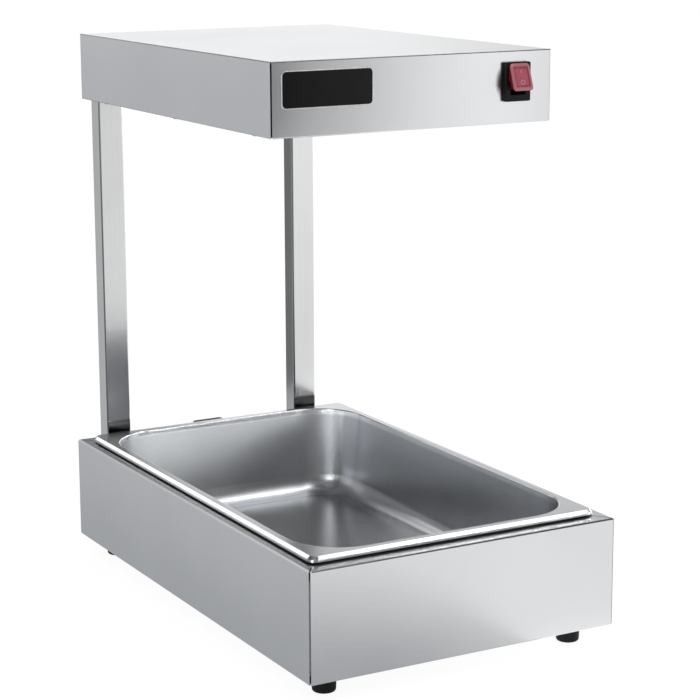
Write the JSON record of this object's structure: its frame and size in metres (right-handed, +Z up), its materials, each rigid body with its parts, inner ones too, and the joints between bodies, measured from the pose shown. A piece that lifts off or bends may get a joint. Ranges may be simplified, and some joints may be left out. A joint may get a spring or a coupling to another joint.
{
  "type": "fry dump station",
  "caption": "Countertop fry dump station: a lift-out pan in a folded steel base under a heated hood on rear uprights, with a rocker switch.",
  "frame": {"origin": "middle of the footprint on the floor, the footprint running from the base's front to the back of the uprights", "axes": "+X to the right seen from the front, +Y to the back, +Z up"},
  "size_m": [0.346, 0.582, 0.592],
  "materials": {
    "satin_steel": "satin stainless sheet",
    "upright_steel": "polished stainless tube",
    "pan_steel": "bright pressed stainless",
    "reflector_metal": "polished",
    "element_sheath": "oxidised sheath",
    "guard_wire": "bright wire",
    "plated_steel": "zinc plated",
    "contact_brass": "plain",
    "black_rubber": "matte",
    "black_plastic": "fine grain",
    "block_plastic": "plain",
    "cable_jacket": "matte",
    "lead_jacket": "silicone sleeve",
    "rocker_red": "translucent red",
    "mark_white": "plain",
    "badge_bright": "bright edge",
    "badge_black": "gloss"
  },
  "bodies": {
    "station": {"badge_frame": "badge_bright", "badge_plate": "badge_black", "base_bottom_plate": "satin_steel", "base_front_panel": "satin_steel", "base_left_panel": "satin_steel", "base_rear_panel": "satin_steel", "base_right_panel": "satin_steel", "base_terminal_block": "block_plastic", "block_screws": "plated_steel", "bottom_plate_nuts": "plated_steel", "bottom_plate_screws": "plated_steel", "cable_grommets": "black_rubber", "corner_gussets": "satin_steel", "element_bushings": "contact_brass", "element_leads": "lead_jacket", "element_nuts": "plated_steel", "element_supports": "satin_steel", "element_terminals": "contact_brass", "foot_front_left": "black_rubber", "foot_front_right": "black_rubber", "foot_nuts": "plated_steel", "foot_rear_left": "black_rubber", "foot_rear_right": "black_rubber", "foot_screws": "plated_steel", "gland_body": "black_plastic", "gland_dome_nut": "black_plastic", "gland_lock_nut": "black_plastic", "guard_clip_screws": "plated_steel", "guard_clips": "plated_steel", "guard_grille": "guard_wire", "heating_element": "element_sheath", "hood_reflector": "reflector_metal", "hood_shell": "satin_steel", "hood_terminal_block": "block_plastic", "inlet_housing": "black_plastic", "inlet_screws": "plated_steel", "reflector_screws": "plated_steel", "supply_cable": "cable_jacket", "switch_housing": "black_plastic", "switch_leads": "lead_jacket", "switch_terminals": "contact_brass", "upright_bolts": "plated_steel", "upright_left": "upright_steel", "upright_plugs": "black_plastic", "upright_right": "upright_steel", "upright_weld_nuts": "plated_steel"},
    "pan": {"food_pan": "pan_steel"},
    "rocker": {"switch_rocker": "rocker_red", "rocker_marks": "mark_white"}
  },
  "joints": [
    {"name": "pan_lift", "type": "slide", "parent": "station", "child": "pan", "axis": [0, 0, 1], "range_m": [0, 0.12]},
    {"name": "rocker_press", "type": "hinge", "parent": "station", "child": "rocker", "pos_m": [0.1144, -0.188, 0.5618], "axis": [1, 0, 0], "range_deg": [0, 40]}
  ]
}
